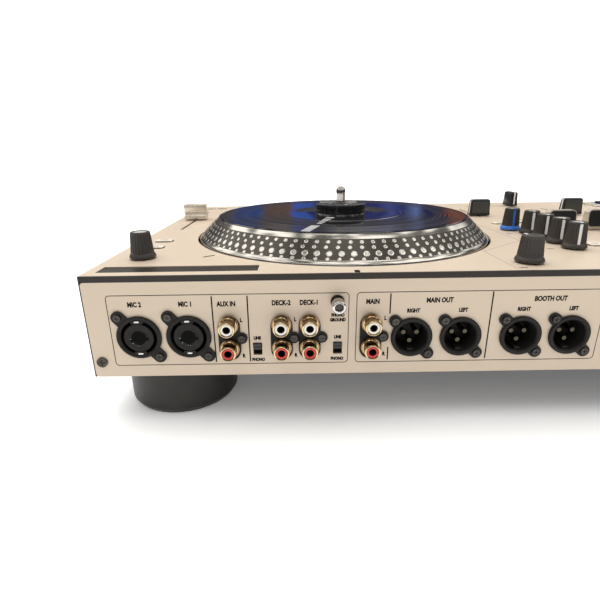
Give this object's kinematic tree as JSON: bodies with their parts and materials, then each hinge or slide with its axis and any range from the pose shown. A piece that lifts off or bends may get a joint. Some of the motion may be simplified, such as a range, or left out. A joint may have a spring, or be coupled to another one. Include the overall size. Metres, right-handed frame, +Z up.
{
  "type": "dj controller",
  "caption": "Two-deck DJ controller with motorised seven inch platters, a battle mixer in the middle and a rear panel of audio sockets.",
  "frame": {"origin": "on the table, under the middle of the bounding box", "axes": "+Z up, +Y towards the sockets at the rear, +X to the player's right"},
  "size_m": [0.664, 0.3204, 0.1207],
  "materials": {
    "silver_panel": "satin metallic",
    "black_case": "fine matt texture",
    "black_rubber": "matt",
    "steel": "bright",
    "black_screw": "blackened",
    "socket_plastic": "satin",
    "gold": "polished",
    "white_plastic": "gloss",
    "red_plastic": "gloss",
    "platter_metal": "black anodised",
    "motor_metal": "plain",
    "felt": "soft",
    "vinyl": "glossy grooved",
    "adapter_plastic": "glossy",
    "spindle_chrome": "polished",
    "knob_plastic": "soft touch",
    "filter_knob": "soft touch",
    "fader_plastic": "satin",
    "pitch_cap": "metallised",
    "paddle": "satin",
    "inner_plastic": "plain",
    "board": "solder mask",
    "strip": "gloss",
    "silicone_pad": "matt",
    "silicone_key": "translucent",
    "start_button": "satin"
  },
  "bodies": {
    "root": {"chassis_tub": "black_case", "top_plate": "silver_panel", "rear_panel": "silver_panel", "feet": "black_rubber", "screws": "black_screw", "combo_jacks": "socket_plastic", "xlr_sockets": "socket_plastic", "contact_pins": "gold", "rca_blocks": "socket_plastic", "rca_shells": "gold", "white_rca_inserts": "white_plastic", "red_rca_inserts": "red_plastic", "power_inlet": "socket_plastic", "board_sockets": "steel", "platter_motors": "motor_metal", "fader_bodies": "inner_plastic", "potentiometers": "inner_plastic", "switch_bodies": "inner_plastic", "circuit_boards": "board", "touch_strips": "strip", "pad_mats": "silicone_pad", "key_mats": "silicone_key"},
    "right_platter": {"right_platter": "platter_metal", "right_slipmat": "felt"},
    "right_record": {"right_record": "vinyl", "right_adapter": "adapter_plastic", "right_spindle": "spindle_chrome"},
    "right_pitch_fader": {"right_pitch_fader_cap": "pitch_cap"},
    "right_channel_fader": {"right_channel_fader_cap": "fader_plastic"},
    "right_fx_paddle": {"right_fx_paddle": "paddle"},
    "right_start_button": {"right_start_button": "start_button"},
    "right_line_switch": {"right_line_switch": "fader_plastic"},
    "left_platter": {"left_platter": "platter_metal", "left_slipmat": "felt"},
    "left_record": {"left_record": "vinyl", "left_adapter": "adapter_plastic", "left_spindle": "spindle_chrome"},
    "left_pitch_fader": {"left_pitch_fader_cap": "pitch_cap"},
    "left_channel_fader": {"left_channel_fader_cap": "fader_plastic"},
    "left_fx_paddle": {"left_fx_paddle": "paddle"},
    "left_start_button": {"left_start_button": "start_button"},
    "left_line_switch": {"left_line_switch": "fader_plastic"},
    "crossfader": {"crossfader_cap": "fader_plastic"},
    "power_rocker": {"power_rocker": "fader_plastic"},
    "ground_terminal": {"ground_terminal": "steel"},
    "browse_encoder": {"browse_encoder": "knob_plastic"},
    "main_volume_knob": {"main_volume_knob": "knob_plastic"},
    "mic_volume_knob": {"mic_volume_knob": "knob_plastic"},
    "right_loop_encoder": {"right_loop_encoder": "knob_plastic"},
    "right_gain_knob": {"right_gain_knob": "knob_plastic"},
    "right_high_knob": {"right_high_knob": "knob_plastic"},
    "right_mid_knob": {"right_mid_knob": "knob_plastic"},
    "right_low_knob": {"right_low_knob": "knob_plastic"},
    "right_filter_knob": {"right_filter_knob": "filter_knob"},
    "left_loop_encoder": {"left_loop_encoder": "knob_plastic"},
    "left_gain_knob": {"left_gain_knob": "knob_plastic"},
    "left_high_knob": {"left_high_knob": "knob_plastic"},
    "left_mid_knob": {"left_mid_knob": "knob_plastic"},
    "left_low_knob": {"left_low_knob": "knob_plastic"},
    "left_filter_knob": {"left_filter_knob": "filter_knob"}
  },
  "joints": [
    {"name": "right_platter_turn", "type": "hinge", "parent": "root", "child": "right_platter", "pos_m": [0.1846, 0.02705, 0.098], "axis": [0, 0, 1], "continuous": true},
    {"name": "right_record_slip", "type": "hinge", "parent": "right_platter", "child": "right_record", "pos_m": [0.1846, 0.02705, 0.098], "axis": [0, 0, 1], "continuous": true},
    {"name": "right_pitch_fader_slide", "type": "slide", "parent": "root", "child": "right_pitch_fader", "axis": [0, 1, 0], "range_m": [-0.05, 0.05]},
    {"name": "right_channel_fader_slide", "type": "slide", "parent": "root", "child": "right_channel_fader", "axis": [0, 1, 0], "range_m": [-0.045, 0]},
    {"name": "right_fx_paddle_tilt", "type": "hinge", "parent": "root", "child": "right_fx_paddle", "pos_m": [0.015, 0.03175, 0.082], "axis": [1, 0, 0], "range_deg": [-18, 18]},
    {"name": "right_start_button_press", "type": "slide", "parent": "root", "child": "right_start_button", "axis": [0, 0, -1], "range_m": [0, 0.0015], "stiffness_N_per_m": 500, "springref_m": -0.0006},
    {"name": "right_line_switch_slide", "type": "slide", "parent": "root", "child": "right_line_switch", "axis": [0, 0, -1], "range_m": [0, 0.0034]},
    {"name": "left_platter_turn", "type": "hinge", "parent": "root", "child": "left_platter", "pos_m": [-0.1846, 0.02705, 0.098], "axis": [0, 0, 1], "continuous": true},
    {"name": "left_record_slip", "type": "hinge", "parent": "left_platter", "child": "left_record", "pos_m": [-0.1846, 0.02705, 0.098], "axis": [0, 0, 1], "continuous": true},
    {"name": "left_pitch_fader_slide", "type": "slide", "parent": "root", "child": "left_pitch_fader", "axis": [0, 1, 0], "range_m": [-0.05, 0.05]},
    {"name": "left_channel_fader_slide", "type": "slide", "parent": "root", "child": "left_channel_fader", "axis": [0, 1, 0], "range_m": [-0.045, 0]},
    {"name": "left_fx_paddle_tilt", "type": "hinge", "parent": "root", "child": "left_fx_paddle", "pos_m": [-0.015, 0.03175, 0.082], "axis": [1, 0, 0], "range_deg": [-18, 18]},
    {"name": "left_start_button_press", "type": "slide", "parent": "root", "child": "left_start_button", "axis": [0, 0, -1], "range_m": [0, 0.0015], "stiffness_N_per_m": 500, "springref_m": -0.0006},
    {"name": "left_line_switch_slide", "type": "slide", "parent": "root", "child": "left_line_switch", "axis": [0, 0, -1], "range_m": [0, 0.0034]},
    {"name": "crossfader_slide", "type": "slide", "parent": "root", "child": "crossfader", "axis": [1, 0, 0], "range_m": [0, 0.045]},
    {"name": "power_rocker_tip", "type": "hinge", "parent": "root", "child": "power_rocker", "pos_m": [-0.25, 0.14725, 0.054], "axis": [0, 0, 1], "range_deg": [0, 16]},
    {"name": "ground_terminal_turn", "type": "hinge", "parent": "root", "child": "ground_terminal", "pos_m": [0.1977, 0.15575, 0.0708], "axis": [0, 1, 0], "range_deg": [0, 360]},
    {"name": "browse_encoder_turn", "type": "hinge", "parent": "root", "child": "browse_encoder", "pos_m": [0, 0.08775, 0.094], "axis": [0, 0, 1], "continuous": true},
    {"name": "main_volume_knob_turn", "type": "hinge", "parent": "root", "child": "main_volume_knob", "pos_m": [0.0903, 0.13215, 0.094], "axis": [0, 0, 1], "range_deg": [-150, 150]},
    {"name": "mic_volume_knob_turn", "type": "hinge", "parent": "root", "child": "mic_volume_knob", "pos_m": [-0.0903, 0.13215, 0.094], "axis": [0, 0, 1], "range_deg": [-150, 150]},
    {"name": "right_loop_encoder_turn", "type": "hinge", "parent": "root", "child": "right_loop_encoder", "pos_m": [0.3112, 0.10955, 0.094], "axis": [0, 0, 1], "continuous": true},
    {"name": "right_gain_knob_turn", "type": "hinge", "parent": "root", "child": "right_gain_knob", "pos_m": [0.0447, 0.09875, 0.094], "axis": [0, 0, 1], "range_deg": [-150, 150]},
    {"name": "right_high_knob_turn", "type": "hinge", "parent": "root", "child": "right_high_knob", "pos_m": [0.0447, 0.08075, 0.094], "axis": [0, 0, 1], "range_deg": [-150, 150]},
    {"name": "right_mid_knob_turn", "type": "hinge", "parent": "root", "child": "right_mid_knob", "pos_m": [0.0447, 0.06275, 0.094], "axis": [0, 0, 1], "range_deg": [-150, 150]},
    {"name": "right_low_knob_turn", "type": "hinge", "parent": "root", "child": "right_low_knob", "pos_m": [0.0447, 0.04475, 0.094], "axis": [0, 0, 1], "range_deg": [-150, 150]},
    {"name": "right_filter_knob_turn", "type": "hinge", "parent": "root", "child": "right_filter_knob", "pos_m": [0.0515, 0.02875, 0.094], "axis": [0, 0, 1], "range_deg": [-150, 150]},
    {"name": "left_loop_encoder_turn", "type": "hinge", "parent": "root", "child": "left_loop_encoder", "pos_m": [-0.3112, 0.10955, 0.094], "axis": [0, 0, 1], "continuous": true},
    {"name": "left_gain_knob_turn", "type": "hinge", "parent": "root", "child": "left_gain_knob", "pos_m": [-0.0447, 0.09875, 0.094], "axis": [0, 0, 1], "range_deg": [-150, 150]},
    {"name": "left_high_knob_turn", "type": "hinge", "parent": "root", "child": "left_high_knob", "pos_m": [-0.0447, 0.08075, 0.094], "axis": [0, 0, 1], "range_deg": [-150, 150]},
    {"name": "left_mid_knob_turn", "type": "hinge", "parent": "root", "child": "left_mid_knob", "pos_m": [-0.0447, 0.06275, 0.094], "axis": [0, 0, 1], "range_deg": [-150, 150]},
    {"name": "left_low_knob_turn", "type": "hinge", "parent": "root", "child": "left_low_knob", "pos_m": [-0.0447, 0.04475, 0.094], "axis": [0, 0, 1], "range_deg": [-150, 150]},
    {"name": "left_filter_knob_turn", "type": "hinge", "parent": "root", "child": "left_filter_knob", "pos_m": [-0.0515, 0.02875, 0.094], "axis": [0, 0, 1], "range_deg": [-150, 150]}
  ]
}
